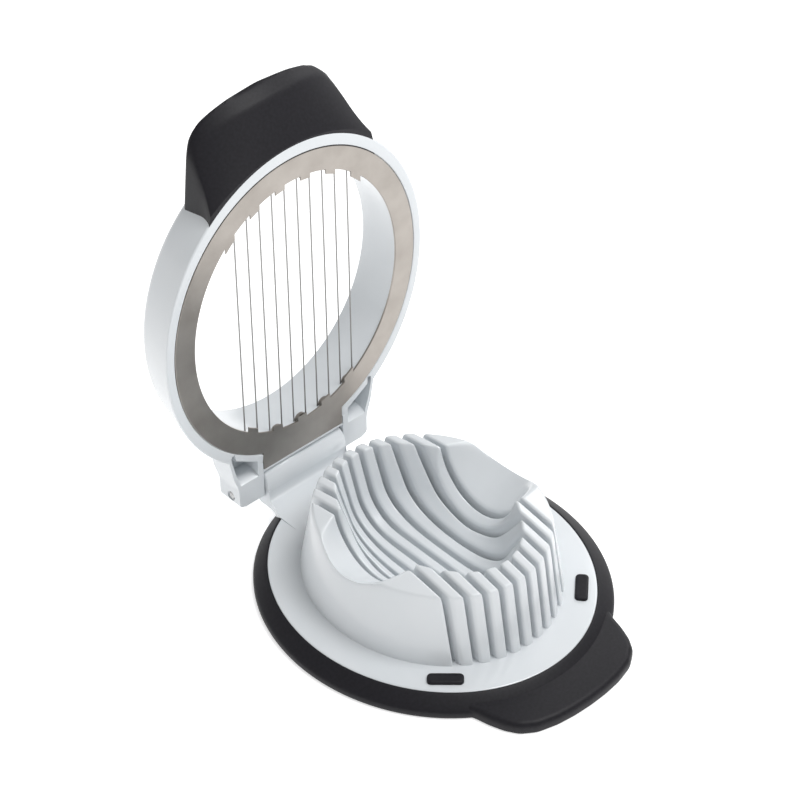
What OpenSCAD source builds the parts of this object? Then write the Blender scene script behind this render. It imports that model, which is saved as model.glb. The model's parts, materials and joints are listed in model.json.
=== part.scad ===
// Hinged egg slicer: a slotted egg cradle on a low base, and a lid that carries ten cutting wires.
// Millimetres. Z is up, X runs along the hinge, -Y points to the finger tabs.
// The origin lies on the table under the middle of the cradle. The lid is drawn closed and is
// then swung open about the hinge, which is the pose it rests in.

/* [Wires and slots] */
// Number of wires
wires = 10; // [6:2:12]
// Distance between neighbouring wires
pitch = 5.575; // [5:0.025:6]
// Wire diameter
wire_d = 0.8; // [0.5:0.1:1]
// Width of a slot in the cradle
slot_w = 1.9; // [1.7:0.1:2.4]

/* [Cradle] */
// Half width of the cradle at its foot
foot_w = 43.1; // [41:0.1:44]
// Half length of the cradle beyond its half width
foot_more = 5.7; // [5:0.1:6.4]
// Height of the cradle's outer top edge
wall_top = 34.7; // [32:0.1:36]
// Inward lean of the cradle wall over its height
wall_draft = 4.1; // [2:0.1:5]
// Rise of the land from the outer edge to the bowl per millimetre
land_slope = 0.26; // [0.1:0.01:0.4]

/* [Bowl] */
// Height of the lowest point of the bowl
bowl_floor = 11.5; // [10.5:0.1:14]
// Shift of the bowl towards the hinge
bowl_shift = 2.2; // [0:0.1:3]
// Half width of the bowl's flat floor
bowl_flat = 6.8; // [5:0.1:8]
// Radius of the curve between the bowl's floor and its wall
bowl_round = 16; // [13:0.5:18]
// Lean of the bowl's wall in degrees
bowl_lean = 19.6; // [15:0.1:24]
// Distance from the middle to the upright lines that the bowl's sides are turned about
bowl_side = 17.75; // [15:0.25:20]
// Half length of the bowl beyond its half width
bowl_more = 9.9; // [8.5:0.1:10.2]
// Radius of the channel that runs out over each end block
channel_r = 19.5; // [17:0.1:21]
// Slope of the channel in degrees
channel_slope = 33; // [28:0.5:36]
// Distance from the middle to where the channel starts
channel_x = 10.84; // [9:0.02:13]
// Height of the channel's middle line where it starts
channel_z = 34.2; // [33:0.1:36]
// How far the channel runs back into the hollow, along its slope
channel_back = 7; // [4:0.5:9]
// Radius of the wide saddle in the end walls
saddle_r = 30.3; // [26:0.1:34]
// Height of the lowest point of the saddle
saddle_z = 30.4; // [28:0.1:32]

/* [Base] */
// Half width of the white flange
flange_w = 54.3; // [52:0.1:56]
// Half length of the flange beyond its half width
flange_more = 6.4; // [5:0.1:7]
// Height of the flange at the foot of the cradle
flange_top = 7.25; // [7:0.05:7.5]
// Height of the flange at its edge
flange_edge = 6.8; // [6.5:0.05:7]
// Thickness of the plastic walls
wall = 2.4; // [1.8:0.1:2.8]

/* [Soft ring and tab] */
// Width of the soft ring outside the flange
ring_band = 6; // [5:0.1:7.5]
// Half length of the soft ring beyond its half width
ring_more = 5.7; // [5:0.1:6.4]
// Shift of the soft ring towards the front
ring_shift = 0.7; // [0:0.1:1]
// How far the base tab stands out from the soft ring
tab_out = 11.6; // [9:0.1:15]
// Thickness of the base tab
tab_t = 4.6; // [3:0.1:5.4]

/* [Bumper pads] */
// Length of a bumper pad
pad_l = 12.5; // [10:0.1:14]
// Width of a bumper pad
pad_w = 4.6; // [4:0.1:5.5]
// Distance from the flange's edge to a pad's middle, seen from the middle of the base
pad_in = 1.81; // [1.5:0.01:2.5]
// Height of a pad's top
pad_top = 8.2; // [7.8:0.05:8.25]

/* [Hinge] */
// Distance from the lid's rim to the hinge axis
hinge_back = 7.1; // [6.8:0.1:7.6]
// Height of the hinge axis
hinge_z = 13.42; // [13:0.02:14]
// Angle between the closed and the open lid
open_angle = 90.9; // [80:0.1:95]
// Radius of the barrel on the base
barrel_r = 6.9; // [6.2:0.1:7.1]
// Half length of the barrel on the base
barrel_half = 18.3; // [16:0.1:19]
// Gap between the barrel and an ear
ear_gap = 0.6; // [0.4:0.1:1]
// Outer radius of an ear round the axis
ear_r = 6; // [5.5:0.1:6.4]
// Distance from the middle to an ear's outer face
ear_out = 30.8; // [29.5:0.1:32]
// Diameter of the hinge pin
pin_d = 3; // [2.5:0.1:3.2]
// Radial clearance of the pin in the ears
pin_fit = 0.05; // [0.02:0.01:0.1]
// Diameter of the sunk seat round the pin's end
sink_d = 3.9; // [3.6:0.1:4.2]

/* [Lid] */
// Height of the lid's rim above the table when it is closed
rim_z = 8.56; // [8.4:0.02:9]
// Depth of the lid from the rim to its back
lid_depth = 19.6; // [18:0.1:21]
// Half width of the lid at its rim
lid_w = 58; // [57:0.1:59]
// Half length of the lid beyond its half width
lid_more = 7.85; // [7:0.05:8]
// Shift of the lid towards the front
lid_shift = 1.25; // [0.8:0.05:1.6]
// Inward lean of the lid's side per millimetre
lid_lean = 0.25; // [0.15:0.01:0.3]
// Radius of the lid's rounded back edge
lid_round = 3.8; // [3:0.1:4.5]
// Step back of the lid's opening from the edge of the plate's opening
open_back = 0.76; // [0.3:0.02:1.2]
// Half length of the lid's opening beyond its half width
open_more = 6; // [5.5:0.1:6.4]
// Thickness of the wall round the opening
inner_wall = 1.6; // [1.3:0.1:2]

/* [Steel plate] */
// Thickness of the steel plate
plate_t = 0.6; // [0.5:0.1:0.8]
// Width of the lid's rim outside the steel plate
rim_band = 3.8; // [3.4:0.1:4.2]
// Half length of the plate beyond its half width
plate_more = 6.5; // [6:0.1:6.8]
// Width of the plate between its edge and its opening
plate_band = 8.56; // [8.2:0.02:8.9]
// Half length of the plate's opening beyond its half width
eye_more = 6.26; // [6:0.02:6.6]
// Distance from the end of the tongue between the ears to the hinge axis
tongue_back = 8.4; // [8.1:0.1:9.6]
// Length of the tabs that stand into the opening
tab_in = 1.75; // [1:0.05:2.2]
// Gap round the plate in its rebate
plate_gap = 0.2; // [0.1:0.05:0.4]

/* [Lid grip] */
// Half width of the lid's soft grip
grip_w = 32.4; // [30:0.1:35]
// How far the lid's soft grip stands out from the rim
grip_out = 18.4; // [16:0.1:22]

/* [Hidden] */
big = 200;
sides = 72;
ring_w = flange_w + ring_band;
tab_reach = ring_w + ring_more + ring_shift + tab_out;
plate_w = lid_w - rim_band;
eye_w = plate_w - plate_band;
open_w = eye_w + open_back;
hinge_y = lid_w + lid_more - lid_shift + hinge_back;
tongue_y = hinge_y - tongue_back;
ear_root = hinge_y - 31.7;
grip_root = lid_w - 12;
grip_reach = lid_w + lid_more + lid_shift + grip_out;
plate_z = rim_z + plate_t;
wire_r = wire_d / 2;
wire_z = plate_z + wire_r + 0.5;
lid_top = rim_z + lid_depth;
flange_under = flange_top - wall - 0.25;
skirt_w = flange_w - 4.3;
foot_ratio = ratio_of(foot_w, foot_more);
flange_ratio = ratio_of(flange_w, flange_more);
ring_ratio = ratio_of(ring_w, ring_more);
lid_ratio = ratio_of(lid_w, lid_more);
open_ratio = ratio_of(open_w, open_more);
plate_ratio = ratio_of(plate_w, plate_more);
eye_ratio = ratio_of(eye_w, eye_more);
tab_ratio = ratio_of(eye_w - tab_in, eye_more);
ear_in = barrel_half + ear_gap;
pin_half = ear_out - 1.5;

// ---------- helpers ----------

// A solid with oval level sections: a list of half widths and heights from the bottom to the
// top, and how much longer than wide the oval is.
module oval(ratio, prof) {
  n = sides;
  m = len(prof);
  polyhedron(
    points = [for (p = prof, i = [0:n - 1]) let (t = 360 * (i + 0.5) / n)
      [p[0] * cos(t), p[0] * ratio * sin(t), p[1]]],
    faces = concat([[for (i = [0:n - 1]) i]], [[for (i = [0:n - 1]) m * n - 1 - i]],
      [for (k = [0:m - 2], i = [0:n - 1]) let (j = (i + 1) % n)
        [k * n + i, (k + 1) * n + i, (k + 1) * n + j, k * n + j]]));
}

module oval_slab(ratio, w, z0, z1) oval(ratio, [[w, z0], [w, z1]]);

function ratio_of(w, more) = (w + more) / w;

// Half length of an oval at a distance x from its middle line.
function oval_end(w, ratio, x) = ratio * sqrt(w * w - x * x);

// How far behind the front of a wide arc a corner circle at x lies when it runs smoothly into that arc.
function nested_y(front_r, r, x) = front_r - sqrt((front_r - r) * (front_r - r) - x * x);

// A profile drawn in Y and Z, drawn out along X between two distances.
module along_x(x0, x1) translate([x0, 0, 0]) rotate([90, 0, 90]) linear_extrude(x1 - x0) children();

module hinge_disc(r, $fn = 96) translate([hinge_y, hinge_z]) circle(r = r);

module open_lid() translate([0, hinge_y, hinge_z]) rotate([-open_angle, 0, 0])
  translate([0, -hinge_y, -hinge_z]) children();

module both_sides() { children(); mirror([1, 0, 0]) children(); }

// ---------- base ----------

// One wall of the bowl, turned about an upright line: floor, curve and leaning wall.
module bowl_turned(r, grow) rotate_extrude($fn = 180)
  polygon(let (steps = 6, round_r = bowl_round + grow, x0 = r + bowl_flat, z0 = bowl_floor + bowl_round,
      x1 = x0 + round_r * cos(bowl_lean), z1 = z0 - round_r * sin(bowl_lean), top = wall_top + 25)
    concat([[0, bowl_floor - grow], [x0, bowl_floor - grow]],
      [for (i = [1:steps]) let (t = i * (90 - bowl_lean) / steps) [x0 + round_r * sin(t), z0 - round_r * cos(t)]],
      [[x1 + (top - z1) * tan(bowl_lean), top], [0, top]]));

// Everything that the egg and the fingers need free above the cradle.
module bowl(grow = 0) translate([0, bowl_shift, 0]) {
  // hollow for the egg: two wide turned sides and turned ends, with one wall profile
  intersection() {
    translate([-bowl_side, 0, 0]) bowl_turned(bowl_side, grow);
    translate([bowl_side, 0, 0]) bowl_turned(bowl_side, grow);
    bowl_turned(bowl_more, grow);
  }
  // channel out over each end block, running into the curve of the hollow
  for (s = [-1, 1]) translate([s * channel_x, 0, channel_z]) rotate([0, s * (90 - channel_slope), 0])
    translate([0, 0, -channel_back]) cylinder(r = channel_r + grow, h = 40 + channel_back, $fn = 96);
  // wide saddle through both end walls
  translate([-big / 2, 0, saddle_z + saddle_r]) rotate([0, 90, 0])
    cylinder(r = saddle_r + grow, h = big, $fn = 96);
}

module cradle_form(inset = 0, z0 = 0) {
  top_w = foot_w - wall_draft - inset;
  oval(foot_ratio, [[foot_w - inset, z0], [foot_w - inset, flange_top], [top_w, wall_top],
    [20, wall_top + land_slope * (top_w - 20)]]);
}

module flange_form() oval(flange_ratio, [[flange_w, flange_under], [flange_w, flange_edge],
  [foot_w - 0.5, flange_top]]);

// The neck that carries the barrel, seen from the side.
module neck_side() {
  polygon([[flange_w - 9.3, flange_under], [hinge_y - 2, flange_under], [hinge_y + 3, hinge_z - barrel_r + 0.9],
    [hinge_y, hinge_z], [hinge_y - barrel_r + 0.05, hinge_z - 1.2], [hinge_y - 6.3, 8],
    [hinge_y - 13.7, flange_top], [flange_w - 9.3, flange_top]]);
}

module neck() intersection() {
  along_x(-barrel_half - 5.7, barrel_half + 5.7) neck_side();
  narrow_y = hinge_y - barrel_r - 0.4;
  linear_extrude(40) polygon([[-barrel_half - 4.7, ear_root], [barrel_half + 4.7, ear_root],
    [barrel_half + 4.1, narrow_y - 5.4], [barrel_half, narrow_y], [barrel_half, hinge_y + 8.3],
    [-barrel_half, hinge_y + 8.3], [-barrel_half, narrow_y], [-barrel_half - 4.1, narrow_y - 5.4]]);
}

module pad_plan(s) rotate([0, 0, s * 38.11]) translate([0, pad_in - flange_w]) rotate([0, 0, s * 4.89]) {
  r = 1.4;
  square([pad_l - 2 * r, pad_w], center = true);
  square([pad_l, pad_w - 2 * r], center = true);
  for (a = [-1, 1], b = [-1, 1]) translate([a * (pad_l / 2 - r), b * (pad_w / 2 - r)])
    circle(r = r, $fn = 24);
}

module pad(s) translate([0, 0, flange_under + 1]) linear_extrude(pad_top - flange_under - 1) pad_plan(s);

module base_body() color("white") difference() {
  union() {
    difference() {
      cradle_form(0, flange_under);
      bowl();
      for (k = [0:wires - 1])
        translate([(k - (wires - 1) / 2) * pitch - slot_w / 2, -big / 2, flange_top])
          cube([slot_w, big, 60]);
    }
    flange_form();
    // skirt that locates the soft ring
    difference() {
      oval_slab(flange_ratio, skirt_w, 1, flange_under + 0.5);
      oval_slab(flange_ratio, skirt_w - wall - 0.1, 0, flange_under + 1);
    }
    neck();
    along_x(-barrel_half, barrel_half) hinge_disc(barrel_r);
  }
  along_x(-big / 2, big / 2) hinge_disc(pin_d / 2, $fn = 48);
  for (s = [-1, 1]) pad(s);
  // hollow end blocks, open below
  for (s = [-1, 1]) difference() {
    intersection() {
      cradle_form(wall, 0);
      translate([s > 0 ? (wires / 2) * pitch + 1.2 : -big / 2, -22, 0])
        cube([big / 2 - (wires / 2) * pitch - 1.2, 44, 60]);
    }
    bowl(wall);
  }
}

// ---------- soft ring and pads ----------

module tab_plan() {
  r = 10.5;
  cx = 18.8;
  front_r = 88;
  meet_x = cx * front_r / (front_r - r);
  for (s = [-1, 1]) translate([s * cx, nested_y(front_r, r, cx) - tab_reach]) circle(r = r, $fn = 64);
  polygon([[-33.6, -tab_reach + 33.3], [-33.6, -tab_reach + 26.3], [-33, -tab_reach + 21.7],
    [-31, -tab_reach + 16.3], [-cx - r + 0.1, -tab_reach + 11.8], [-cx, -tab_reach + 2.4],
    [cx, -tab_reach + 2.4], [cx + r - 0.1, -tab_reach + 11.8], [31, -tab_reach + 16.3],
    [33, -tab_reach + 21.7], [33.6, -tab_reach + 26.3], [33.6, -tab_reach + 33.3]]);
  intersection() {
    translate([0, front_r - tab_reach]) circle(r = front_r, $fn = 360);
    translate([-meet_x, -tab_reach - 1]) square([2 * meet_x, 12]);
  }
}

module base_grip_ring() color("dimgray") difference() {
  union() {
    translate([0, -ring_shift, 0]) oval(ring_ratio, [[ring_w - 0.7, 0], [ring_w, 0.8], [ring_w, 2.6],
      [flange_w + 1.1, flange_edge - 0.1]]);
    linear_extrude(tab_t) tab_plan();
  }
  oval_slab(flange_ratio, flange_w, flange_under, big / 2);
  oval_slab(flange_ratio, skirt_w, -1, flange_under + 1);
  along_x(-barrel_half - 5.7, barrel_half + 5.7) polygon([[flange_w - 9.3, flange_under],
      [hinge_y + 8.3, flange_under], [hinge_y + 8.3, 20], [flange_w - 9.3, 20]]);
}

module bumper_pad_left() color("dimgray") pad(-1);
module bumper_pad_right() color("dimgray") pad(1);

module hinge_pin() color("silver") along_x(-pin_half, pin_half) hinge_disc(pin_d / 2, $fn = 48);

// ---------- lid, drawn closed ----------

module lid_outer() {
  lean = atan(lid_lean);
  cz = lid_top - lid_round;
  cw = lid_w - lid_lean * (cz - rim_z) - lid_round / cos(lean);
  turns = [0, 0.25, 0.5, 0.75, 1];
  translate([0, -lid_shift, 0]) oval(lid_ratio, concat([[lid_w, rim_z]],
    [for (t = turns) let (a = lean + t * (90 - lean)) [cw + lid_round * cos(a), cz + lid_round * sin(a)]]));
}

module lid_opening() translate([0, -lid_shift, 0]) oval(open_ratio, [[open_w, 0], [open_w, rim_z + 2],
  [open_w + 0.9, lid_top - 1], [open_w + 1.9, lid_top + 0.1]]);

// Channel between the outer wall and the wall round the opening, closed later by the plate.
module lid_channel() translate([0, -lid_shift, 0]) difference() {
  union() {
    oval_slab(plate_ratio, plate_w - 1.2, 0, rim_z + 3);
    oval(plate_ratio, [[lid_w - wall - 0.9, rim_z + 2.6], [lid_w - wall - 0.9 - lid_lean * 12.5, rim_z + 15.1],
      [lid_w - wall - 6.2, lid_top - wall + 0.2]]);
  }
  oval_slab(open_ratio, open_w + inner_wall + 0.4, wire_z + wire_r + 0.25, big / 2);
}

module ear_plan(inset) {
  x0 = inset > 0 ? ear_in + 2.5 : ear_in;
  polygon([[x0, ear_root], [ear_out + 3.8 - inset, ear_root], [ear_out + 3.4 - inset, hinge_y - 21.7],
    [ear_out - inset, hinge_y - 3.7], [ear_out - inset, hinge_y + 2.6], [ear_in + 2, hinge_y + ear_r],
    [x0, hinge_y + ear_r]]);
}

module ear() difference() {
  intersection() {
    along_x(ear_in, ear_out + 5) difference() {
      union() {
        hinge_disc(ear_r);
        polygon([[ear_root, rim_z], [hinge_y + 3.5, rim_z], [hinge_y, hinge_z], [hinge_y, hinge_z + ear_r],
          [ear_root, hinge_z + ear_r]]);
      }
      translate([ear_root - 10, -10]) square([60, rim_z + 10]);
    }
    linear_extrude(40) ear_plan(0);
  }
  // finger-sized pocket in front of the boss that carries the pin
  difference() {
    intersection() {
      along_x(ear_in, ear_out + 5) difference() {
        translate([ear_root, 0]) square([hinge_y - ear_root, hinge_z + ear_r - 2]);
        hinge_disc(ear_r + 2);
      }
      linear_extrude(40) ear_plan(2);
    }
    translate([0, -lid_shift, 0]) oval_slab(plate_ratio, plate_w + 2.8, 0, big / 2);
  }
}

module plate_form(grow, z0, z1) {
  translate([0, -lid_shift, 0]) oval_slab(plate_ratio, plate_w + grow, z0, z1);
  translate([-ear_in + 0.4 - grow, ear_root, z0])
    cube([2 * (ear_in - 0.4 + grow), tongue_y + grow - ear_root, z1 - z0]);
}

module lid_frame() color("white") open_lid() difference() {
  union() {
    lid_outer();
    both_sides() ear();
  }
  lid_opening();
  lid_channel();
  plate_form(plate_gap, 0, plate_z);
  along_x(-big / 2, big / 2) hinge_disc(pin_d / 2 + pin_fit, $fn = 48);
  both_sides() along_x(pin_half + 0.1, big / 2) hinge_disc(sink_d / 2, $fn = 48);
}

module grip_plan() {
  r = 11;
  front_r = 85;
  cx = grip_w - r;
  // the tenth keeps the corner circles just inside the front curve
  cy = nested_y(front_r, r, cx) - grip_reach - 0.1;
  meet_x = cx * front_r / (front_r - r);
  for (s = [-1, 1]) translate([s * cx, cy]) circle(r = r, $fn = 64);
  polygon([[-grip_w - 1.3, -grip_root], [-grip_w, -grip_reach + 20], [-grip_w, cy], [-cx, cy - r + 1.5],
    [cx, cy - r + 1.5], [grip_w, cy], [grip_w, -grip_reach + 20], [grip_w + 1.3, -grip_root]]);
  intersection() {
    translate([0, front_r - grip_reach]) circle(r = front_r, $fn = 300);
    translate([-meet_x, -grip_reach - 1]) square([2 * meet_x, 12]);
  }
}

module lid_grip() color("dimgray") open_lid() difference() {
  intersection() {
    linear_extrude(60) grip_plan();
    along_x(-grip_w - 7.6, grip_w + 7.6) polygon([[6 - grip_root, rim_z + 0.2],
      [-grip_reach + 20, rim_z + 0.2], [-grip_reach + 4, rim_z + 10.6],
      [-grip_reach, rim_z + 14.8], [-grip_reach + 0.3, rim_z + 16.2], [-grip_reach + 1.6, lid_top - 1.9],
      [-grip_reach + 4.2, lid_top - 0.9], [-grip_reach + 9, lid_top - 0.3],
      [6 - grip_root, lid_top - 0.2]]);
  }
  lid_outer();
}

// ---------- steel plate and wire ----------

function wire_x(k) = (k - (wires + 1) / 2) * pitch;
function eye_end(x) = oval_end(eye_w, eye_ratio, x);
// Where the straight part of a pair of wires ends, for the tab between them at x.
function pair_end(x) = eye_end(abs(x) - (abs(x) < 0.1 ? 0 : pitch / 2)) + 0.3;
function side_of(k, side) = side > 0 ? (k % 2 == 1 ? 0.5 : -0.5) : (k % 2 == 0 ? 0.5 : -0.5);
function strand_end(k, side) = pair_end(wire_x(k) + side_of(k, side) * pitch);
function tab_xs(side) = side > 0 ? [for (k = [1:2:wires - 1]) wire_x(k) + pitch / 2]
  : [for (k = [0:2:wires]) wire_x(k) + pitch / 2];

module wire_plate() color("silver") open_lid() {
  difference() {
    plate_form(0, rim_z, plate_z);
    translate([0, -lid_shift, 0]) oval_slab(eye_ratio, eye_w, 0, big / 2);
  }
  for (side = [-1, 1]) for (x = tab_xs(side)) {
    difference() {
      translate([x - pitch / 2 + 0.7, side * (eye_end(x) + 1.5) - tab_in - 3.5 - lid_shift, rim_z])
        cube([pitch - 1.4, 2 * tab_in + 7, plate_t]);
      translate([0, -lid_shift, 0]) oval_slab(tab_ratio, eye_w - tab_in, 0, big / 2);
    }
    // raised lug that the wire bends round
    translate([x, side * pair_end(x) - lid_shift, rim_z])
      cylinder(r = pitch / 2 - wire_r, h = wire_z + wire_r - rim_z, $fn = 32);
  }
}

module strand(k) color("silver") open_lid()
  translate([wire_x(k), -lid_shift - strand_end(k, -1), wire_z]) rotate([-90, 0, 0])
    cylinder(r = wire_r, h = strand_end(k, -1) + strand_end(k, 1), $fn = 24);

module wire_loops(side) color("silver") open_lid()
  for (x = tab_xs(side)) translate([x, side * pair_end(x) - lid_shift, wire_z])
    rotate([0, 0, side > 0 ? 0 : 180]) rotate_extrude(angle = 180, $fn = 64)
      translate([pitch / 2, 0]) circle(r = wire_r, $fn = 24);

module wire_loops_hinge_side() wire_loops(1);
module wire_loops_grip_side() wire_loops(-1);
module wire_strand_01() strand(1);
module wire_strand_02() strand(2);
module wire_strand_03() strand(3);
module wire_strand_04() strand(4);
module wire_strand_05() strand(5);
module wire_strand_06() strand(6);
module wire_strand_07() strand(7);
module wire_strand_08() strand(8);
module wire_strand_09() strand(9);
module wire_strand_10() strand(10);

base_body();
base_grip_ring();
bumper_pad_left();
bumper_pad_right();
hinge_pin();
lid_frame();
lid_grip();
wire_plate();
wire_strand_01();
wire_strand_02();
wire_strand_03();
wire_strand_04();
wire_strand_05();
wire_strand_06();
wire_strand_07();
wire_strand_08();
wire_strand_09();
wire_strand_10();
wire_loops_hinge_side();
wire_loops_grip_side();
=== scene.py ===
import json
import math
import bmesh
import bpy
import numpy as np
from mathutils import Matrix, Vector


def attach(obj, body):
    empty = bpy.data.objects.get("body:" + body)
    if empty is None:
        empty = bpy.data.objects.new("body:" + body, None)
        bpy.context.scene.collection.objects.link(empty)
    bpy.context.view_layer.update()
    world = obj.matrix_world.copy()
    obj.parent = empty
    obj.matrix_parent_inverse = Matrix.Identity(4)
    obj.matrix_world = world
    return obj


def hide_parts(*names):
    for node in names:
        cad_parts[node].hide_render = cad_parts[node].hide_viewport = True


# An egg slicer, standing open. Shapes are in millimetres: x runs along the hinge line, y from
# the front to the hinge, z up from the table. The lid's pieces are drawn closed, then opened.

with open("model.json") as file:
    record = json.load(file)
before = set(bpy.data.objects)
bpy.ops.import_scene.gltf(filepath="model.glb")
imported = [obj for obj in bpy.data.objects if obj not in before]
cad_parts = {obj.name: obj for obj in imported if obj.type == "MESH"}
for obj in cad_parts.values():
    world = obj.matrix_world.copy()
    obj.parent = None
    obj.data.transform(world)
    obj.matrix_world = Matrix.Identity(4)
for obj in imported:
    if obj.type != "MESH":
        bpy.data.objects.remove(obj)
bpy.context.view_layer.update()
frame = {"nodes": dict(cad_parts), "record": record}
MM = 0.001

# ---------- camera ----------
VIEW_AZ, VIEW_EL = math.radians(-42.71), math.radians(40.51)
VIEW_DISTANCE = 1.0601
TARGET_RIGHT, TARGET_UP = -0.01102, 0.06507
FOCAL_PIXELS, PICTURE_PIXELS, SENSOR_MM = 3033.5, 800, 36

right = Vector((math.cos(VIEW_AZ), math.sin(VIEW_AZ), 0))
back = Vector((math.sin(VIEW_AZ) * math.cos(VIEW_EL),
               -math.cos(VIEW_AZ) * math.cos(VIEW_EL),
               math.sin(VIEW_EL)))
up = back.cross(right)
target = right * TARGET_RIGHT + up * TARGET_UP
cam_data = bpy.data.cameras.new("camera")
cam_data.sensor_width = SENSOR_MM
cam_data.lens = FOCAL_PIXELS / PICTURE_PIXELS * SENSOR_MM
cam_data.clip_start = 0.05
cam_data.clip_end = 20
cam = bpy.data.objects.new("camera", cam_data)
bpy.context.collection.objects.link(cam)
cam.location = target + back * VIEW_DISTANCE
cam.rotation_euler = Matrix((right, up, back)).transposed().to_euler()
bpy.context.scene.camera = cam


# ---------- materials ----------
def material(name, color, rough, metal=0.0, coat=0.0, spec=0.5):
    """A new material, with its node tree and its shader."""
    m = bpy.data.materials.new(name)
    m.use_nodes = True
    shader = m.node_tree.nodes["Principled BSDF"]
    shader.inputs["Base Color"].default_value = (*color, 1)
    shader.inputs["Roughness"].default_value = rough
    shader.inputs["Metallic"].default_value = metal
    shader.inputs["Coat Weight"].default_value = coat
    shader.inputs["Specular IOR Level"].default_value = spec
    return m, m.node_tree, shader


def noise(nt, scale, detail):
    """Noise over the object's own coordinates, in cycles per metre."""
    coord = nt.nodes.new("ShaderNodeTexCoord")
    n = nt.nodes.new("ShaderNodeTexNoise")
    n.inputs["Scale"].default_value = scale
    n.inputs["Detail"].default_value = detail
    nt.links.new(coord.outputs["Object"], n.inputs["Vector"])
    return n.outputs["Fac"]


def vary(nt, source, low, high, socket):
    """Let a noise move a socket between two colours."""
    ramp = nt.nodes.new("ShaderNodeValToRGB")
    for stop, position, color in zip(ramp.color_ramp.elements, (0.3, 0.7), (low, high)):
        stop.position = position
        stop.color = (*color, 1)
    nt.links.new(source, ramp.inputs["Fac"])
    nt.links.new(ramp.outputs["Color"], socket)


def bump(nt, source, strength, distance, shader):
    """Fine relief, its depth in metres."""
    relief = nt.nodes.new("ShaderNodeBump")
    relief.inputs["Strength"].default_value = strength
    relief.inputs["Distance"].default_value = distance
    nt.links.new(source, relief.inputs["Height"])
    nt.links.new(relief.outputs["Normal"], shader.inputs["Normal"])


# white moulding: a polished plastic with faint clouds in its colour and gloss
WHITE, nt, shader = material("white_plastic", (0.775, 0.805, 0.83), rough=0.22, coat=0.2)
vary(nt, noise(nt, 60, 3), (0.765, 0.800, 0.826), (0.785, 0.815, 0.840),
     shader.inputs["Base Color"])
vary(nt, noise(nt, 35, 2), (0.19, 0.19, 0.19), (0.27, 0.27, 0.27), shader.inputs["Roughness"])

# soft grip: a dull, nearly black rubber with a fine grain
RUBBER, nt, shader = material("soft_grip", (0.011, 0.0105, 0.014), rough=0.5, spec=0.28)
grain = noise(nt, 900, 3)
vary(nt, grain, (0.0085, 0.0080, 0.0110), (0.0130, 0.0122, 0.0165), shader.inputs["Base Color"])
bump(nt, grain, 0.25, 0.00006, shader)

# stamped plate: warm, slightly cloudy stainless steel
STEEL, nt, shader = material("plate_steel", (0.36, 0.33, 0.30), rough=0.32, metal=1.0)
vary(nt, noise(nt, 90, 6), (0.34, 0.312, 0.285), (0.41, 0.38, 0.35), shader.inputs["Base Color"])
bump(nt, noise(nt, 700, 4), 0.12, 0.00004, shader)

WIRE, nt, shader = material("wire_steel", (0.30, 0.295, 0.29), rough=0.3, metal=1.0)
bump(nt, noise(nt, 2500, 2), 0.1, 0.00002, shader)

PIN, nt, shader = material("pin_steel", (0.5, 0.5, 0.5), rough=0.3, metal=1.0)
bump(nt, noise(nt, 1500, 2), 0.1, 0.00003, shader)

FINISH = {"white_plastic": WHITE, "soft_grip": RUBBER, "plate_steel": STEEL,
          "wire_steel": WIRE, "pin_steel": PIN}
NODE_SLOT = {s["node"]: s["material_slot"] for s in frame["record"]["subparts"]}
for node, obj in frame["nodes"].items():
    for ms in obj.material_slots:
        ms.material = FINISH[NODE_SLOT[node]]
    if not obj.material_slots:
        obj.data.materials.append(FINISH[NODE_SLOT[node]])


# ---------- mesh helpers, in millimetres ----------
def piece(name, verts, faces, body, slot, replaces=(), angle=None):
    """A visible piece; its edges sharper than the angle stay sharp, or all of them if None."""
    me = bpy.data.meshes.new(name)
    me.from_pydata([tuple(float(c) * MM for c in v) for v in verts], [],
                   [tuple(int(i) for i in f) for f in faces])
    me.validate()
    me.update()
    me.materials.append(FINISH[slot])
    me.polygons.foreach_set("use_smooth", [angle is not None] * len(me.polygons))
    if angle is not None:
        me.set_sharp_from_angle(angle=math.radians(angle))
    obj = bpy.data.objects.new(name, me)
    bpy.context.collection.objects.link(obj)
    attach(obj, body)
    if replaces:
        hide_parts(*replaces)


def grid(rows, cols, wrap_cols=False, wrap_rows=False):
    """Quads over rows of points, closed round the columns or the rows if asked."""
    faces = []
    for i in range(rows if wrap_rows else rows - 1):
        this, following = i * cols, (i + 1) % rows * cols
        for j in range(cols if wrap_cols else cols - 1):
            k = (j + 1) % cols
            faces.append((this + j, this + k, following + k, following + j))
    return faces


def capped(rows, cols):
    """A tube of rings of points, closed at both ends."""
    ring = tuple(range(cols))
    last = tuple(range((rows - 1) * cols, rows * cols))
    return grid(rows, cols, wrap_cols=True) + [ring[::-1], last]


def flipped(faces):
    return [tuple(reversed(q)) for q in faces]


def joined(parts):
    """Several (points, faces) pairs as one."""
    verts, faces, count = [], [], 0
    for v, f in parts:
        verts.append(v)
        faces += [tuple(i + count for i in q) for q in f]
        count += len(v)
    return np.concatenate(verts), faces


def around(n):
    """The angles of n points round a full turn."""
    return np.arange(n) * 2 * math.pi / n


def oval(width, length, z, n, cy=0.0):
    """A level oval of n points, from its half width and half length."""
    a = around(n)
    return np.stack([width * np.cos(a), cy + length * np.sin(a), np.full(n, float(z))], 1)


def resampled(pts, n):
    """n points at even distances along a path."""
    pts = np.asarray(pts, float)
    d = np.r_[0, np.cumsum(np.linalg.norm(np.diff(pts, axis=0), axis=1))]
    s = np.linspace(0, d[-1], n)
    return np.stack([np.interp(s, d, pts[:, k]) for k in range(pts.shape[1])], 1)


def smoothed(pts, times):
    """An open path with its bends evened out; its ends stay."""
    pts = pts.copy()
    for _ in range(times):
        pts[1:-1] = (pts[:-2] + 2 * pts[1:-1] + pts[2:]) / 4
    return pts


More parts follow.
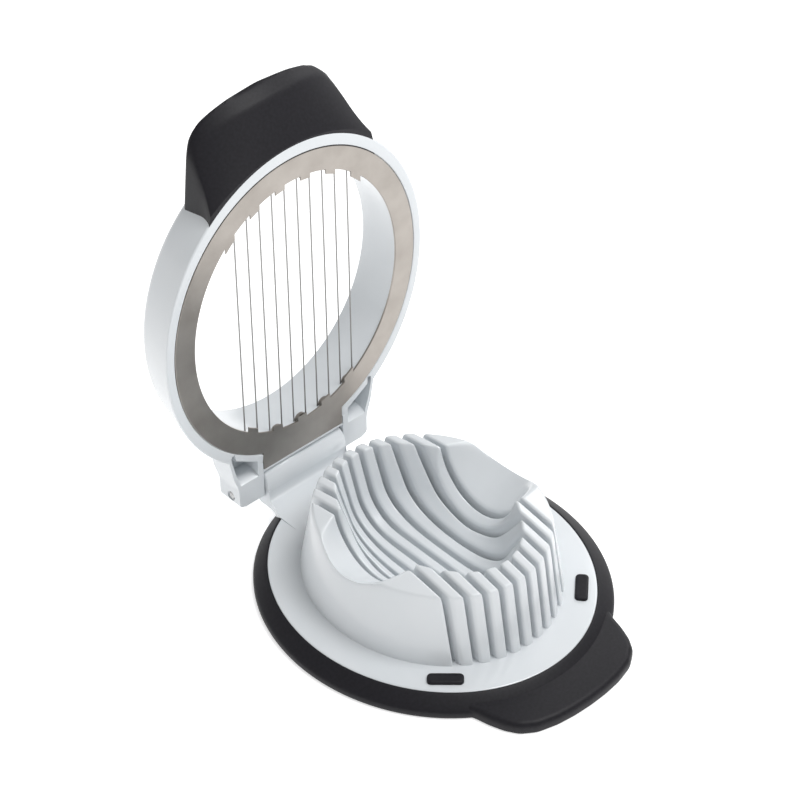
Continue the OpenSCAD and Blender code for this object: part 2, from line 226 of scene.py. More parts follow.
def rounded(pts, steps):
    """A closed polygon of (x, y, corner radius) as points, each corner in that many steps."""
    out = []
    for i, (x, y, radius) in enumerate(pts):
        p = np.array([x, y], float)
        a = np.array(pts[i - 1][:2], float) - p
        c = np.array(pts[(i + 1) % len(pts)][:2], float) - p
        len_a, len_c = np.linalg.norm(a), np.linalg.norm(c)
        a, c = a / len_a, c / len_c
        angle = math.acos(float(np.clip(a @ c, -1, 1)))
        if radius <= 0 or angle > math.radians(176):
            out.append(p)
            continue
        # the arc keeps clear of the middle of each side
        t = min(radius / math.tan(angle / 2), 0.48 * len_a, 0.48 * len_c)
        middle = (a + c) / np.linalg.norm(a + c)
        centre = p + middle * t * math.tan(angle / 2) / math.sin(angle / 2)
        v0, v1 = p + a * t - centre, p + c * t - centre
        cosine = float(v0 @ v1 / (np.linalg.norm(v0) * np.linalg.norm(v1)))
        w = math.acos(float(np.clip(cosine, -1, 1)))
        for f in (k / steps for k in range(steps + 1)):
            out.append(centre + (math.sin((1 - f) * w) * v0 + math.sin(f * w) * v1) / math.sin(w))
    return np.array(out)


# ---------- cradle: a block with a bowl in it, cut into slats by the wires' slots ----------
WIRES, PITCH, SLOT_W = 10, 5.575, 1.9
FOOT_W, FOOT_RATIO = 43.1, 48.8 / 43.1      # the block's outline at its foot, and length / width
TOP_W, TOP_Z, FOOT_Z = 39.0, 34.7, 7.25
DRAFT = (FOOT_W - TOP_W) / (TOP_Z - FOOT_Z)
LAND_SLOPE = 0.26                           # the top land rises inwards
SKIRT_Z, SUNK_Z = 6.9, 6.7                  # the slats run a little into the flange

BOWL_BACK = 2.2                             # the bowl's middle, behind the block's
EGG_OFFSET, END_MORE = 17.75, 7.35          # centres of the bowl's side and end curves
FLOOR_HALF, FLOOR_Z, BOWL_R, BOWL_Z = 6.8, 11.5, 16, 27.5
ARC_W, ARC_Z, WALL_LEAN = 15.07, 22.1, math.radians(19.6)
SCOOP_R2, SCOOP_TILT, SCOOP_X, SCOOP_Z = 380.25, math.radians(33), 10.84, 34.2
SCOOP_HALF, SCOOP_FROM = 19.49, 13
SADDLE_R2, SADDLE_Z, SADDLE_HALF = 918.1, 60.7, 30.2
SCOOP_OFF, SADDLE_OFF = 60, 90              # heights above any real surface
SCOOP_BLEND, SADDLE_BLEND, LAND_BLEND, WALL_BLEND = 0.8, 1.2, 1.1, 4.0
NEAR_WALL_W, TOP_STEP, WALL_POINTS = 37.6, 0.22, 140    # spacing of a section's points


def blended(a, b, width):
    """The lower of two heights, with the crease between them rounded."""
    h = np.clip(0.5 + 0.5 * (b - a) / width, 0, 1)
    return b * (1 - h) + a * h - width * h * (1 - h)


def bowl_height(x, y):
    """Height of the bowl's surface over a point."""
    x, y = np.abs(x), np.abs(y - BOWL_BACK)
    # distance from the bowl's middle, measured along its egg-shaped plan
    side = np.hypot(x + EGG_OFFSET, y) - EGG_OFFSET
    end = np.hypot(x, y - EGG_OFFSET) + END_MORE
    w = np.where(y - EGG_OFFSET > x, end, side)
    arc = BOWL_Z - np.sqrt(np.maximum(BOWL_R ** 2 - np.clip(w - FLOOR_HALF, 0, ARC_W) ** 2, 0))
    wall = ARC_Z + (w - FLOOR_HALF - ARC_W) / math.tan(WALL_LEAN)
    bowl = np.where(w < FLOOR_HALF, FLOOR_Z, np.where(w < FLOOR_HALF + ARC_W, arc, wall))
    # a round channel climbs outwards through each side
    run = (x - SCOOP_X) * math.sin(SCOOP_TILT) - np.sqrt(np.maximum(SCOOP_R2 - y * y, 0.01))
    scoop = np.where((y < SCOOP_HALF) & (x >= SCOOP_FROM),
                     SCOOP_Z + run / math.cos(SCOOP_TILT), SCOOP_OFF)
    # the top dips across the bowl's middle
    dip = SADDLE_Z - np.sqrt(np.maximum(SADDLE_R2 - y * y, 0.01))
    saddle = np.where(y < SADDLE_HALF, dip, SADDLE_OFF)
    return blended(blended(bowl, scoop, SCOOP_BLEND), saddle, SADDLE_BLEND)


def cradle_height(x, y):
    """Height of the cradle over a point: the lowest of its land, its bowl and its outer wall."""
    reach = np.hypot(x, y / FOOT_RATIO)
    land = TOP_Z + LAND_SLOPE * (TOP_W - reach)
    wall = FOOT_Z + (FOOT_W - reach) / DRAFT
    return blended(blended(land, bowl_height(x, y), LAND_BLEND), wall, WALL_BLEND)


def cradle_section(x, n):
    """The cradle cut at x: n points (y, z) from the front foot over the top to the back foot."""
    middle, outside = [], FOOT_W + 0.05
    if abs(x) < NEAR_WALL_W - 0.05:
        y_in = FOOT_RATIO * math.sqrt(NEAR_WALL_W ** 2 - x * x)
        middle = list(np.arange(-y_in, y_in + 0.001, y_in / max(4, round(y_in / TOP_STEP))))
        reaches = np.linspace(NEAR_WALL_W, outside, WALL_POINTS)[1:]
    else:
        reaches = np.linspace(abs(x), outside, WALL_POINTS)
    edge = [FOOT_RATIO * math.sqrt(max(r * r - x * x, 0)) for r in reaches]
    y = np.array([-v for v in edge[::-1]] + middle + edge)
    z = np.maximum(cradle_height(x, y), SKIRT_Z)
    return resampled(np.stack([y, z], 1), n)


def inset(section, d):
    """A section moved inwards by d."""
    t = np.gradient(section, axis=0)
    t /= np.linalg.norm(t, axis=1)[:, None] + 1e-12
    return section + np.stack([t[:, 1], -t[:, 0]], 1) * d


def cradle_slice(stations, n=300):
    """One solid through (x, inset) stations, with flat ends that reach into the flange."""
    rows = [np.c_[np.full(n, x), inset(cradle_section(x, n), d)] for x, d in stations]
    m = len(rows)
    for r in (rows[0], rows[-1]):
        low = r.copy()
        low[:, 2] = SUNK_Z
        rows.append(low)
    faces = grid(m, n)
    last, foot0, foot1 = (m - 1) * n, m * n, (m + 1) * n
    for i in range(n - 1):
        faces.append((i + 1, i, foot0 + i, foot0 + i + 1))
        faces.append((last + i, last + i + 1, foot1 + i + 1, foot1 + i))
        faces.append((foot0 + i, foot1 + i, foot1 + i + 1, foot0 + i + 1))
    starts = [i * n for i in range(m)]
    faces.append(tuple(starts + [foot1, foot0]))
    faces.append(tuple([i + n - 1 for i in starts[::-1]] + [foot0 + n - 1, foot1 + n - 1]))
    return np.concatenate(rows), faces


EDGE_R = 0.95                               # the rounded edge beside each slot
quarter = np.linspace(0, math.pi / 2, 7)
EDGE = list(zip(EDGE_R * (1 - np.cos(quarter)), EDGE_R * (1 - np.sin(quarter))))
SLAT_HALF = (PITCH - SLOT_W) / 2

slices = []
for k in range(1, WIRES):                   # the slats between the slots
    xc = (k - WIRES / 2) * PITCH
    slices.append(cradle_slice([(xc - SLAT_HALF + t, d) for t, d in EDGE]
                               + [(xc - 0.45, 0), (xc, 0), (xc + 0.45, 0)]
                               + [(xc + SLAT_HALF - t, d) for t, d in EDGE[::-1]]))
for s in (-1, 1):                           # the two end blocks, with closer points at the foot
    x0, x1 = (WIRES - 1) / 2 * PITCH + SLOT_W / 2, 38.0
    spots = [(x0 + t, d) for t, d in EDGE]
    spots += [(x, 0) for x in np.linspace(x0 + EDGE_R, x1, 24)[1:]]
    spots += [(x, 0) for x in np.linspace(x1, FOOT_W - 0.05, 36)[1:]]
    slices.append(cradle_slice([(s * x, d) for x, d in spots][::s]))
piece("cradle", *joined(slices), "base", "white_plastic", ("base_body",), angle=50)

# ---------- rest of the white base ----------
BASE_N = 240                                # points round each oval of the base
FLANGE_W, FLANGE_RATIO = 54.3, 60.7 / 54.3
FLANGE_UNDER, SKIRT_W, RIB_W = 4.6, 50.0, 47.5

# (half width, z, length / width): over the top, round the edge and back under
flange = [(42.6, 7.25, FOOT_RATIO), (48, 7.06, 1.125)]
flange += [(w, z, FLANGE_RATIO) for w, z in (
    (53.6, 6.83), (54.05, 6.77), (54.25, 6.6), (FLANGE_W, 6.3), (FLANGE_W, FLANGE_UNDER),
    (SKIRT_W, FLANGE_UNDER), (SKIRT_W, 1.0), (RIB_W, 1.0), (RIB_W, FLANGE_UNDER))]
piece("flange", np.concatenate([oval(w, w * q, z, BASE_N) for w, z, q in flange]),
      flipped(capped(len(flange), BASE_N)), "base", "white_plastic", ("base_body",), angle=35)

HINGE_Y, HINGE_Z = 71.7, 13.42
BARREL_HALF, BARREL_R, BARREL_N = 18.3, 6.9, 96


def rod(prof, n):
    """Rings of (x, radius) round the hinge line, as points and faces."""
    v = [(x, HINGE_Y + r * math.cos(a), HINGE_Z + r * math.sin(a))
         for x, r in prof for a in around(n)]
    return v, capped(len(prof), n)


barrel_end = [(BARREL_HALF, 6.3), (18.15, 6.7), (17.8, BARREL_R)]
piece("hinge_barrel", *rod([(-x, r) for x, r in barrel_end] + barrel_end[::-1], BARREL_N),
      "base", "white_plastic", ("base_body",), angle=50)

# neck: a hollow curve runs down from the barrel and out towards the flange
NECK_BACK, NECK_TOP, CURVE_TOP_Y = 74.7, 13.4, 64.8
NECK_CURVE = [(64.85, 12.6), (65.1, 11.2), (65.2, 9.9), (65.1, 9.0), (64.75, 8.35), (64.1, 7.95),
              (63.2, 7.75), (61.5, 7.6), (60.0, 7.48), (58.2, 7.3)]
NECK_SIDE = [(48, 7.15), (48, FLANGE_UNDER), (69.7, FLANGE_UNDER), (72.5, 6.2), (NECK_BACK, 7.6),
             (HINGE_Y, HINGE_Z)] + NECK_CURVE
NECK_EDGE = [(BARREL_HALF, 64.5), (18.7, 62.2), (19.3, 60.6), (20.0, 58.6), (20.6, 56.0)]


def neck_reach(x):
    """How far back the neck runs at x: past the barrel, or to its curved side edge."""
    return NECK_BACK if abs(x) <= BARREL_HALF else float(np.interp(abs(x), *zip(*NECK_EDGE)))


def neck_top(y):
    """Height of the neck's side edge: on the curve's lower points, or clear above it."""
    return NECK_TOP if y > CURVE_TOP_Y else float(np.interp(y, *zip(*NECK_CURVE[:3:-1])))


half_xs = (BARREL_HALF, 18.301, 18.5, 18.7, 19.0, 19.3, 19.7, 20.0, 20.3, 20.6)
xs = sorted([s * x for s in (-1, 1) for x in half_xs] + [0])
v = []
for x in xs:
    reach = neck_reach(x)
    v += [(x, min(y, reach), min(z, neck_top(reach)) if y > reach else z) for y, z in NECK_SIDE]
piece("hinge_neck", v, capped(len(xs), len(NECK_SIDE)),
      "base", "white_plastic", ("base_body",), angle=45)

# ---------- soft ring, tab and bumper pads ----------
RING_W, RING_RATIO, RING_FRONT = 60.3, 66.0 / 60.3, 0.7
RING_PROFILE = [(59.5, 0.0), (59.95, 0.25), (60.2, 0.9), (60.23, 1.5), (60.23, 2.3), (60.0, 2.9),
                (59.4, 3.5), (57.6, 4.85), (56.0, 6.0), (55.2, 6.5), (54.75, 6.75), (54.5, 6.8),
                (54.35, 6.7), (FLANGE_W, 6.3)]
GAP_HALF, GAP_FRONT, GAP_Z = 18.6, 40, 4.55     # the ring is open where the neck passes
rings = []
for w, z in RING_PROFILE:
    # the outline turns from the ring's own oval into the flange's on the way in
    k = min(1, max(0, (RING_W - w) / (RING_W - FLANGE_W)))
    ratio = RING_RATIO + (FLANGE_RATIO - RING_RATIO) * k
    rings.append(oval(w, w * ratio, z, BASE_N, -RING_FRONT * (1 - k)))
for w, z in ((FLANGE_W, FLANGE_UNDER), (SKIRT_W, FLANGE_UNDER), (SKIRT_W, 0.0)):
    rings.append(oval(w, w * FLANGE_RATIO, z, BASE_N))
v = np.concatenate(rings)
faces = []
for q in flipped(grid(len(rings), BASE_N, wrap_cols=True, wrap_rows=True)):
    x, y, z = np.mean(v[list(q)], axis=0)
    if not (y > GAP_FRONT and abs(x) < GAP_HALF and z > GAP_Z):
        faces.append(q)
piece("soft_ring", v, faces, "base", "soft_grip", ("base_grip_ring",), angle=50)

TAB_HALF_PLAN = [(36.0, -50.0, 6), (33.0, -56.2, 8), (31.8, -61.5, 12), (29.8, -67, 0),
                 (27, -71.5, 0), (22, -75, 0), (14.5, -77.1, 0), (7.4, -78.0, 0), (0, -78.3, 0)]
TAB_LEVELS = [(0.6, 0.0), (0.15, 0.25), (0.0, 0.8), (0.0, 1.9), (0.0, 2.5), (0.12, 3.1),
              (0.5, 3.8), (1.2, 4.35), (2.2, 4.6)]      # (inset, z)
plan = TAB_HALF_PLAN + [(-x, y, r) for x, y, r in TAB_HALF_PLAN[-2::-1]]
plan = rounded(plan + [(-36, -44, 0), (36, -44, 0)], 6)
plan = resampled(np.r_[plan, plan[:1]], 260)[:-1]
for _ in range(3):
    plan = (np.roll(plan, 1, 0) + 2 * plan + np.roll(plan, -1, 0)) / 4
along = np.roll(plan, -1, 0) - np.roll(plan, 1, 0)
along /= np.linalg.norm(along, axis=1)[:, None]
outwards = np.stack([-along[:, 1], along[:, 0]], 1)
v = np.concatenate([np.c_[plan - outwards * d, np.full(len(plan), z)] for d, z in TAB_LEVELS])
piece("grip_tab", v, flipped(capped(len(TAB_LEVELS), len(plan))),
      "base", "soft_grip", ("base_grip_ring",), angle=50)

PAD_HALF, PAD_PLACE, PAD_TURN = (6.25, 2.3), (32.4, -41.3), math.radians(43)
PAD_LEVELS = [(0, 6.2), (0, 7.7), (0.12, 8.0), (0.4, 8.18), (0.9, 8.2)]     # (inset, z)
a, b = PAD_HALF
outline = rounded([(-a, -b, 1.5), (a, -b, 1.5), (a, b, 1.5), (-a, b, 1.5)], 6)
for s, name in ((-1, "bumper_pad_left"), (1, "bumper_pad_right")):
    c, sn = math.cos(s * PAD_TURN), math.sin(s * PAD_TURN)
    v = []
    for d, z in PAD_LEVELS:
        for x, y in outline * ((a - d) / a, (b - d) / b):
            v.append((s * PAD_PLACE[0] + x * c - y * sn, PAD_PLACE[1] + x * sn + y * c, z))
    piece(name + "_soft", v, capped(len(PAD_LEVELS), len(outline)),
          "base", "soft_grip", (name,), angle=50)

# ---------- lid shell ----------
SWING = math.radians(90.9)
LID_Y = -1.25                               # middle of the closed lid
LID_N = 216
RIM_Z = 8.56                                # underside of the closed lid's rim


def opened(v):
    """Points of the closed lid, swung open round the hinge line."""
    v = np.asarray(v, float).copy()
    dy, dz = v[:, 1] - HINGE_Y, v[:, 2] - HINGE_Z
    v[:, 1] = HINGE_Y + dy * math.cos(SWING) + dz * math.sin(SWING)
    v[:, 2] = HINGE_Z - dy * math.sin(SWING) + dz * math.cos(SWING)
    return v


def lid_ovals(prof):
    """Rings of the lid, from (half width, z, half length)."""
    return np.concatenate([oval(w, length, z, LID_N, LID_Y) for w, z, length in prof])


def solid(v, faces):
    """A form to cut with or join; it is gone before the scene is finished."""
    me = bpy.data.meshes.new("form")
    me.from_pydata([tuple(map(float, p)) for p in v], [], [tuple(map(int, q)) for q in faces])
    me.update()
    form = bpy.data.objects.new("form", me)
    bpy.context.collection.objects.link(form)
    bm = bmesh.new()
    bm.from_mesh(me)
    bmesh.ops.recalc_face_normals(bm, faces=bm.faces)
    bm.to_mesh(me)
    bm.free()
    return form


def prism(poly, lo, hi, axis):
    """A polygon drawn out along an axis: of (y, z) along "x", or of (x, y) along "z"."""
    v = [((c, p, q) if axis == "x" else (p, q, c)) for c in (lo, hi) for p, q in poly]
    return solid(v, capped(2, len(poly)))


def discard(form):
    me = form.data
    bpy.data.objects.remove(form)
    bpy.data.meshes.remove(me)


def combined(form, other, how):
    """The first form with the other joined to it, cut from it or shared with it."""
    md = form.modifiers.new("combine", "BOOLEAN")
    md.operation = how
    md.object = other
    md.solver = "EXACT"
    bpy.context.view_layer.update()
    ev = form.evaluated_get(bpy.context.evaluated_depsgraph_get())
    me = bpy.data.meshes.new_from_object(ev)
    form.modifiers.clear()
    old = form.data
    form.data = me
    bpy.data.meshes.remove(old)
    discard(other)
    return form


def disc(radius, n=72):
    """A circle round the hinge line, as (y, z)."""
    return [(HINGE_Y + radius * math.cos(a), HINGE_Z + radius * math.sin(a)) for a in around(n)]


# the shell's section, as (half width, z, half length): up its outside and down its inside
LIP = [(54.45, 9.3, 60.95), (54.45, 8.8, 60.95), (54.62, 8.6, 61.2), (54.95, RIM_Z, 61.6),
       (57.1, RIM_Z, 64.95), (57.55, 8.66, 65.4), (57.8, 8.92, 65.65), (57.86, 9.25, 65.71)]
OUTSIDE = [(58 - 0.25 * (z - RIM_Z), z, 65.82 - 0.25 * (z - RIM_Z))
           for z in (9.7, 11, 14, 18, 22, 25.2)]
TURN_R = 3.8
TURN = [(50.13 + TURN_R * math.cos(a), 24.32 + TURN_R * math.sin(a), 57.94 + TURN_R * math.cos(a))
        for a in np.radians([22, 32, 42, 52, 62, 72, 81, 90])]
INSIDE = [(48.3, 28.12, 53.7), (47.85, 28.02, 53.2), (47.5, 27.75, 52.82), (47.35, 27.3, 52.7),
          (47.1, 22, 52.6), (46.8, 16, 52.5), (46.45, 10.8, 52.4), (46.4, 9.3, 52.4)]
NOTCH_HALF, NOTCH_FRONT, NOTCH_BACK, NOTCH_Z = 18.7, 40, 63.5, 9.3
section = LIP + OUTSIDE + TURN + INSIDE
v = lid_ovals(section)
for q in v[:len(LIP) * LID_N]:              # the rim makes room where the tongue lies over it
    if abs(q[0]) < NOTCH_HALF and NOTCH_FRONT < q[1] < NOTCH_BACK:
        q[2] = max(q[2], NOTCH_Z)
lid = solid(v, flipped(grid(len(section), LID_N, wrap_cols=True, wrap_rows=True)))

# hinge ears: half round at the hinge line, with a pocket behind the rim and the pin's seat
EAR_R, EAR_IN, EAR_OUT, EAR_FRONT = 5.9, 18.9, 37, 44
EAR_SIDE = [(EAR_FRONT, RIM_Z), (75.2, RIM_Z)]
EAR_SIDE += [(HINGE_Y + EAR_R * math.cos(a), HINGE_Z + EAR_R * math.sin(a))
             for a in np.radians(np.arange(-44, 91, 6))]
EAR_SIDE += [(EAR_FRONT, HINGE_Z + EAR_R)]
EAR_PLAN = [(EAR_IN, 42), (EAR_OUT, 42), (34.7, 48), (34.2, 50.5), (33.4, 54.6), (32.4, 60),
            (31.2, 63.6), (30.5, 66), (30.3, 67.5), (30.3, 73.2), (30.05, 74.0), (29.4, 74.5),
            (20.4, 78), (EAR_IN, 78.2)]
LID_CORE = [(57.2, 5, 65.05), (57.2, 8.6, 65.05), (53.6, 23, 61.45)]
POCKET_PLAN = [(21.3, 57.9), (21.3, 66.5), (29.3, 66.5), (29.8, 62.8), (31.3, 58.4), (33.0, 50.6),
               (32.6, 49.2), (31.2, 48.9), (31, 52), (25.7, 55.3)]
POCKET_TOP, BOSS_R, SEAT_R, SEAT_IN, HOLE_R = 17.2, 8.5, 1.95, 29.7, 1.53


def span(s, lo, hi):
    """A stretch of x on the left (-1) or the right (1)."""
    return sorted((s * lo, s * hi))


def mirrored(plan, s):
    return [(s * x, y) for x, y in plan][::s]


for s in (-1, 1):
    ear = prism(EAR_SIDE, *span(s, EAR_IN, EAR_OUT), "x")
    ear = combined(ear, prism(mirrored(EAR_PLAN, s), 0, 40, "z"), "INTERSECT")
    core = solid(lid_ovals(LID_CORE), capped(len(LID_CORE), LID_N))
    lid = combined(lid, combined(ear, core, "DIFFERENCE"), "UNION")
    pocket = prism(mirrored(POCKET_PLAN, s), 5, POCKET_TOP, "z")
    pocket = combined(pocket, prism(disc(BOSS_R), -40, 40, "x"), "DIFFERENCE")
    lid = combined(lid, pocket, "DIFFERENCE")
    lid = combined(lid, prism(disc(SEAT_R, 40), *span(s, SEAT_IN, 40), "x"), "DIFFERENCE")
    lid = combined(lid, prism(disc(HOLE_R, 40), *span(s, 15, 32), "x"), "DIFFERENCE")
v = opened([q.co[:] for q in lid.data.vertices])
faces = [tuple(p.vertices) for p in lid.data.polygons]
discard(lid)
piece("lid_shell", v, faces, "lid", "white_plastic", ("lid_frame",), angle=24)

# the strip of rim that shows below the tongue
RIM_BAR = [(63.36, 8.75), (63.5, 8.6), (64.15, 8.6), (64.35, 8.8), (64.35, 10.4), (63.36, 10.4)]
v = [(x, y, z) for x in (-18.75, 18.75) for y, z in RIM_BAR]
piece("tongue_rim", opened(v), capped(2, len(RIM_BAR)),
      "lid", "white_plastic", ("lid_frame",), angle=35)

# the pin's domed ends, in their seats
PIN_END = [(29.2, 1.42), (29.8, 1.42), (30.02, 1.25), (30.14, 0.9), (30.2, 0.4)]   # (x, radius)
for s, name in ((-1, "left"), (1, "right")):
    piece("pin_end_" + name, *rod([(s * x, r) for x, r in PIN_END], 32),
          "base", "pin_steel", (), angle=70)

# ---------- lid grip ----------
GRIP_HALF_PLAN = [(34.0, -40.5, 0), (33.8, -47.5, 0), (32.8, -57.1, 0), (32.0, -64.7, 0),
                  (31.4, -70.4, 9), (29.9, -77.0, 7), (25.5, -80.5, 14), (20.2, -82.3, 0),
                  (13.1, -83.9, 0), (0, -85.0, 0)]
# (z, inset): a straight side, then a rounded edge over to the back
GRIP_LEVELS = [(z, 0) for z in (8.7, 9.2, 10, 11, 12.5, 14, 15.5, 17, 18, 18.7, 19.3, 20, 21, 22,
                                23, 23.8, 24.4)]
GRIP_LEVELS += [(24.9, 0.2), (25.5, 0.6), (26.1, 1.2), (26.6, 2.0), (27.0, 3.0), (27.35, 4.6),
                (27.6, 6.4), (27.8, 8.6), (27.9, 11)]
GRIP_HALF, GRIP_INNER = 34, 33.6            # half widths of its mouth and of its inner wall
WALL_W, WALL_L = 49.3, 56.3                 # the oval inside the shell that the grip ends on
RIM_W, RIM_L = 58, 65.85                    # the oval that its front face leans out from
LEAN, SIDE_LEAN = 0.70, 0.27                # rise over run of that face, and more at the sides
LIP_RISE, UNDER_RISE, UNDER_SLOPE = 3.0, 2.4, 0.8       # the underside of its front edge
FLARE_Z, FLARE, LOW_FLARE_Z, LOW_FLARE, FLARE_X = 25, 0.09, 16, 0.026, 33


def grip_wall(x):
    return LID_Y - WALL_L * np.sqrt(1 - (x / WALL_W) ** 2)


path = [(-x, y, r) for x, y, r in GRIP_HALF_PLAN] + GRIP_HALF_PLAN[::-1][1:]
path = rounded([(0, 0, 0)] + path, 8)[1:]
path = smoothed(resampled(path, 241), 24)
along = np.gradient(path, axis=0)
along /= np.linalg.norm(along, axis=1)[:, None]
inwards = np.stack([-along[:, 1], along[:, 0]], 1)
even = smoothed(inwards, 300)               # deeper insets need gentler directions
rim_y = LID_Y - RIM_L * np.sqrt(1 - (path[:, 0] / RIM_W) ** 2)
slope = LEAN + SIDE_LEAN * (path[:, 0] / GRIP_HALF) ** 2
rows = []
for z, d in GRIP_LEVELS:
    p = path + (inwards + (even - inwards) * min(1, d / 6)) * d
    # the front face leans out from the rim, up to a crease, then follows the plan
    lean = rim_y - (z - RIM_Z) / slope
    under = RIM_Z + slope * rim_y + UNDER_RISE + UNDER_SLOPE * path[:, 1] - z
    under /= slope + UNDER_SLOPE
    p[:, 1] = np.maximum(p[:, 1], np.where(lean > path[:, 1] + LIP_RISE, lean, under))
    # the sides flare towards the rim
    flare = FLARE * max(0, FLARE_Z - z) + LOW_FLARE * max(0, LOW_FLARE_Z - z) ** 2
    p[:, 0] *= 1 + flare / FLARE_X
    limit = grip_wall(np.clip(p[:, 0], -GRIP_INNER, GRIP_INNER)) - 0.2
    p[:, 1] = np.where(np.abs(p[:, 0]) < GRIP_INNER - 0.1, np.minimum(p[:, 1], limit), p[:, 1])
    if z < 24:                              # the crease is sharp at the rim and soft above it
        p = smoothed(p, int(min(24, 2.2 * (z - 8.6))))
    inner_x = p[::-1, 0] * min(1, GRIP_INNER / np.abs(p[:, 0]).max())
    wall = np.c_[inner_x, grip_wall(inner_x)]
    rows.append(np.c_[np.concatenate([p, wall]), np.full(2 * len(p), z)])
m = len(rows[0])
top = (len(rows) - 1) * m
faces = grid(len(rows), m, wrap_cols=True)
for i in range(len(path) - 1):
    quad = (i, i + 1, m - 2 - i, m - 1 - i)
    faces += [quad[::-1], tuple(top + q for q in quad)]
piece("lid_grip_soft", opened(np.concatenate(rows)), faces,
      "lid", "soft_grip", ("lid_grip",), angle=28)

# ---------- steel plate: a flat ring with a tongue, and tabs that stand into its eye ----------
PLATE_Z, PLATE_W, PLATE_L = 9.16, 54.2, 60.7
EYE_W, EYE_L = 45.64, 51.9
TAB_W, TAB_L, TAB_HALF = 43.89, 50.15, 2.05             # the oval that the tabs reach in to
TONGUE_X, TONGUE_Y = 18.5, 63.3
EVEN_X = 31                                             # edge points pair at equal x up to here
TABS = {1: [k * 2 * PITCH for k in (-2, -1, 0, 1, 2)],
        -1: [(k + 0.5) * 2 * PITCH for k in (-3, -2, -1, 0, 1, 2)]}
STEP = 1e-5                                             # width of a straight step in an edge


def oval_y(x, half_w, half_l):
    return half_l * math.sqrt(max(0, 1 - (x / half_w) ** 2))


def edge_pair(x, side, on_tab, on_tongue):
    """The plate's inner and outer edge at x, on the hinge side (1) or the grip side (-1)."""
    y = oval_y(x, TAB_W, TAB_L) if on_tab else oval_y(x, EYE_W, EYE_L)
    far = abs(x) - EVEN_X
    stretch = (PLATE_W - EVEN_X) / (EYE_W - EVEN_X)
    xo = x if far < 0 else math.copysign(EVEN_X + far * stretch, x)
    yo = TONGUE_Y if side > 0 and on_tongue else side * oval_y(xo, PLATE_W, PLATE_L) + LID_Y
    return (x, side * y + LID_Y), (xo, yo)


pairs = []
for s in (1, -1):
    ends = [EVEN_X + (EYE_W - EVEN_X) * math.sin(q) for q in np.linspace(0, math.pi / 2, 40)]
    spots = [(x, False, False) for x in ends]
    spots += [(-x, False, False) for x in ends[:-1 if s > 0 else None]]
    spots += [(x, any(abs(x - xt) < TAB_HALF for xt in TABS[s]), s > 0 and abs(x) < TONGUE_X)
              for x in np.arange(-30.8, 30.9, 0.35)]
    for x, e in ((xt + e * TAB_HALF, e) for xt in TABS[s] for e in (-1, 1)):
        spots += [(x + STEP, e < 0, abs(x) < TONGUE_X), (x - STEP, e > 0, abs(x) < TONGUE_X)]
    if s > 0:
        for x in (-TONGUE_X, TONGUE_X):
            spots += [(x + STEP, False, x < 0), (x - STEP, False, x > 0)]
    spots = sorted(set(spots), key=lambda q: -s * q[0])
    pairs += [edge_pair(x, s, *on) for x, *on in (spots if s > 0 else spots[1:-1])]
inner, outer = zip(*pairs)
# (edge, inset, z) round the plate's section
LAYERS = [(outer, 0.12, RIM_Z), (outer, 0, RIM_Z + 0.1), (outer, 0, PLATE_Z),
          (inner, 0, PLATE_Z), (inner, 0, RIM_Z + 0.1), (inner, -0.1, RIM_Z)]
v = []
for edge, d, z in LAYERS:
    for x, y in edge:
        k = 1 - d / math.hypot(x, y)
        v.append((x * k, y * k, z))
parts = [(v, grid(len(LAYERS), len(pairs), wrap_cols=True, wrap_rows=True))]


def lug_y(xt, side):
    """Middle of the raised lug on a tab, which the wire bends round."""
    xe = abs(xt) - (0 if abs(xt) < 0.1 else PITCH / 2)
    return side * (EYE_L * math.sqrt(1 - (xe / EYE_W) ** 2) + 0.3) + LID_Y


LUG_N, LUG_RINGS = 32, [(2.39, 9.1), (2.39, 10.2), (2.2, 10.42)]        # (radius, z)
for s in (1, -1):
    for xt in TABS[s]:
        v = [(xt + r * math.cos(q), lug_y(xt, s) + r * math.sin(q), z)
             for r, z in LUG_RINGS for q in around(LUG_N)]
        sides = grid(len(LUG_RINGS), LUG_N, wrap_cols=True)
        parts.append((v, sides + [tuple(range(len(v) - LUG_N, len(v)))]))
v, faces = joined(parts)
piece("steel_plate", opened(v), faces, "lid", "plate_steel", ("wire_plate",))

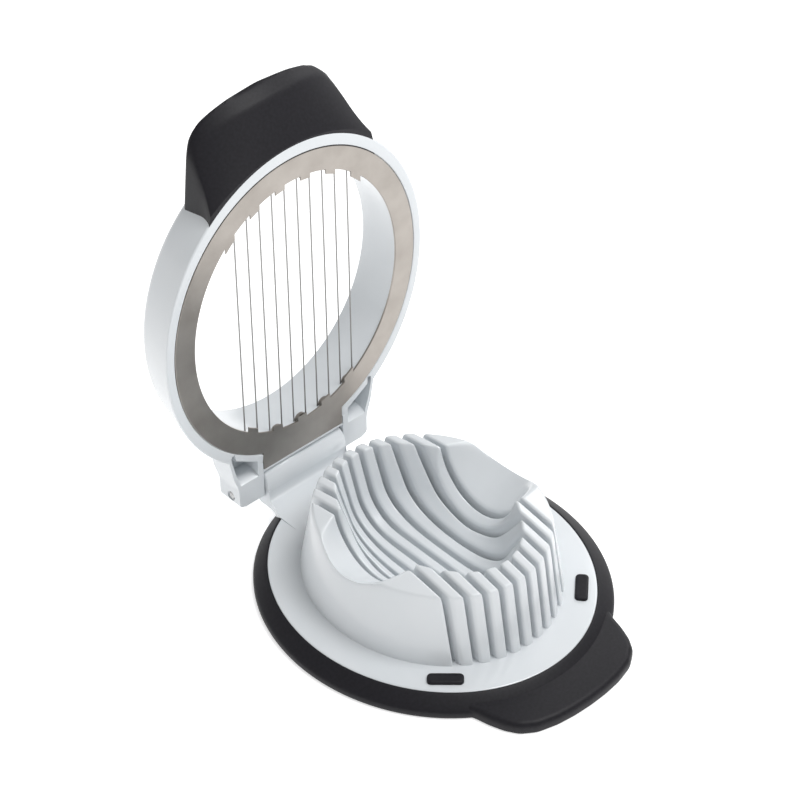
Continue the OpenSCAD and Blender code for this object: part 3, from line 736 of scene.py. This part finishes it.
# ---------- wires: straight strands, and half turns round the lugs ----------
WIRE_R, WIRE_Z, WIRE_N = 0.27, 10.06, 16
STRAND_RINGS, LOOP_RINGS = 9, 25
around_wire = [(WIRE_R * math.cos(a), WIRE_R * math.sin(a)) for a in around(WIRE_N)]
for k in range(1, WIRES + 1):
    x = (k - (WIRES + 1) / 2) * PITCH
    ends = [lug_y(min(TABS[s], key=lambda t: abs(t - x)), s) for s in (-1, 1)]
    v = [(x + p, y, WIRE_Z + q) for y in np.linspace(*ends, STRAND_RINGS) for p, q in around_wire]
    piece("wire_%02d" % k, opened(v), capped(STRAND_RINGS, WIRE_N),
          "lid", "wire_steel", ("wire_strand_%02d" % k,), angle=60)
for s, name in ((1, "hinge_side"), (-1, "grip_side")):
    loops = []
    for xt in TABS[s]:
        v = [(xt + (PITCH / 2 + p) * math.cos(a), lug_y(xt, s) + s * (PITCH / 2 + p) * math.sin(a),
              WIRE_Z + q) for a in np.linspace(0, math.pi, LOOP_RINGS) for p, q in around_wire]
        loops.append((v, capped(LOOP_RINGS, WIRE_N)))
    v, faces = joined(loops)
    piece("wire_loops_" + name + "_bent", opened(v), faces,
          "lid", "wire_steel", ("wire_loops_" + name,), angle=60)

# ---------- floor and light ----------
bpy.ops.mesh.primitive_plane_add(size=6, location=(0, 0, 0))
floor = bpy.context.active_object
floor.name = "floor"
FLOOR, nt, shader = material("floor", (0.95, 0.95, 0.95), rough=0.9, spec=0.1)
shader.inputs["Emission Color"].default_value = (1, 1, 1, 1)
shader.inputs["Emission Strength"].default_value = 0.55
floor.data.materials.append(FLOOR)

world = bpy.data.worlds.new("world")
bpy.context.scene.world = world
world.use_nodes = True
sky = world.node_tree.nodes["Background"]
sky.inputs["Color"].default_value = (1, 1, 1, 1)
sky.inputs["Strength"].default_value = 0.42


def area_light(name, place, size, power, aim=(0, 0, 0.05)):
    """A square light that points at the slicer, in metres and watts."""
    data = bpy.data.lights.new(name, "AREA")
    data.energy = power
    data.size = size
    light = bpy.data.objects.new(name, data)
    bpy.context.collection.objects.link(light)
    light.location = place
    light.rotation_euler = (Vector(aim) - Vector(place)).to_track_quat("-Z", "Y").to_euler()


area_light("key", (0.25, -0.3, 1.0), 0.45, 5.5)
area_light("side", (0.9, 0.25, 0.6), 0.5, 2.5)
bpy.context.scene.view_settings.view_transform = "Standard"
bpy.context.scene.view_settings.look = "None"
